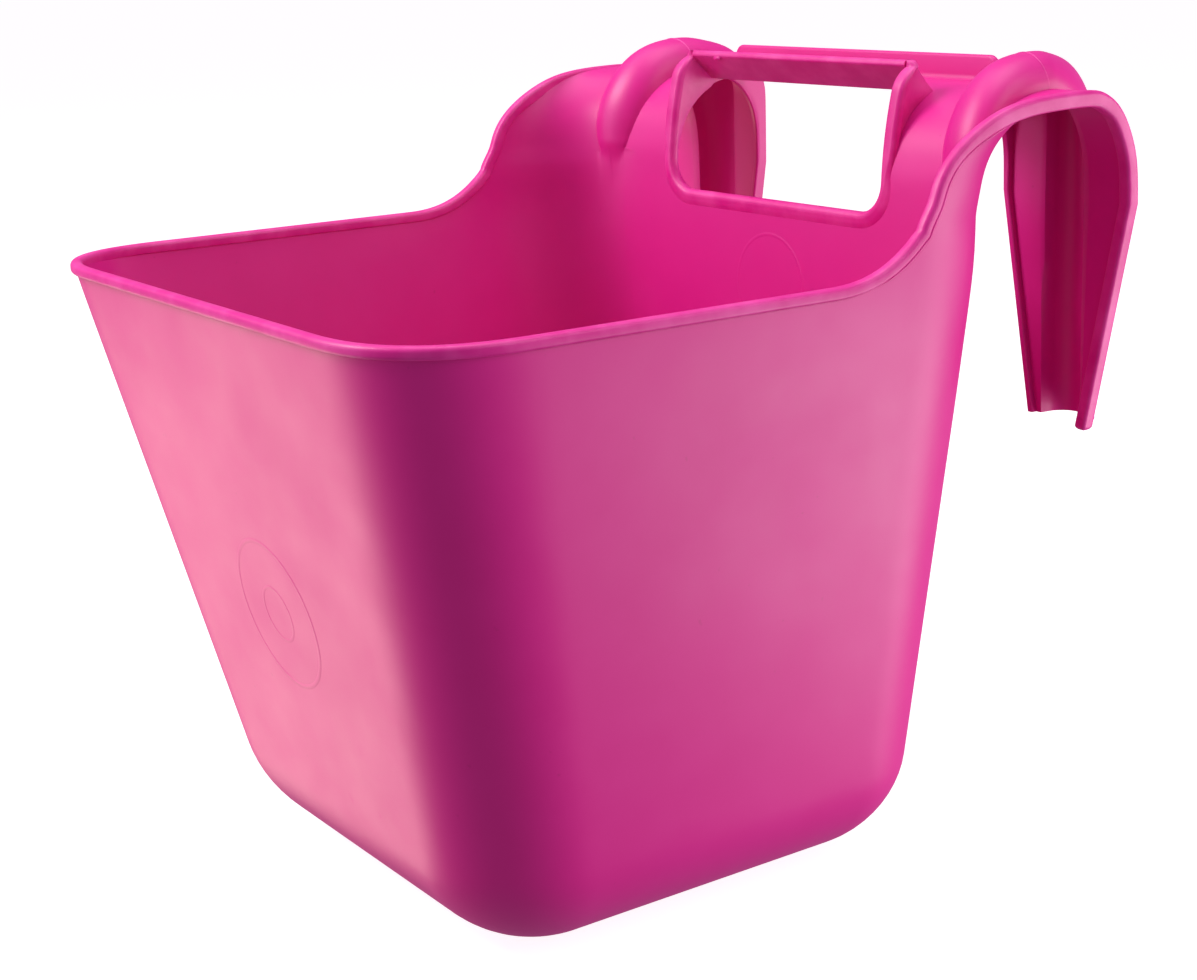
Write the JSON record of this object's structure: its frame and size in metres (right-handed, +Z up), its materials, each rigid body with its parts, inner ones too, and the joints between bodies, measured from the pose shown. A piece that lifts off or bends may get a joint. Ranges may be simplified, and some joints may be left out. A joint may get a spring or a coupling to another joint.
{
  "type": "hook-over feed bucket",
  "caption": "Open square feed bucket in pink plastic, with a flat-backed tub, a hand opening in the raised back and two ribbed hooks that hang it over a rail.",
  "frame": {"origin": "middle of the tub's flat underside, on the plane of left-right symmetry", "axes": "+X to the bucket's left-hand side as it is seen from the hooks, across the width; +Y from the front wall towards the hooks; +Z up"},
  "size_m": [0.3036, 0.3485, 0.3256],
  "materials": {
    "moulded_plastic": "satin moulded polyethylene, bright pink"
  },
  "bodies": {
    "root": {"tub_base": "moulded_plastic", "front_wall": "moulded_plastic", "left_wall": "moulded_plastic", "right_wall": "moulded_plastic", "back_wall": "moulded_plastic", "left_saddle": "moulded_plastic", "right_saddle": "moulded_plastic", "left_hook": "moulded_plastic", "right_hook": "moulded_plastic", "grip_frame": "moulded_plastic", "grip_bridge": "moulded_plastic", "rear_upstand": "moulded_plastic", "rim_lip": "moulded_plastic", "left_edge_lip": "moulded_plastic", "right_edge_lip": "moulded_plastic"}
  },
  "joints": []
}
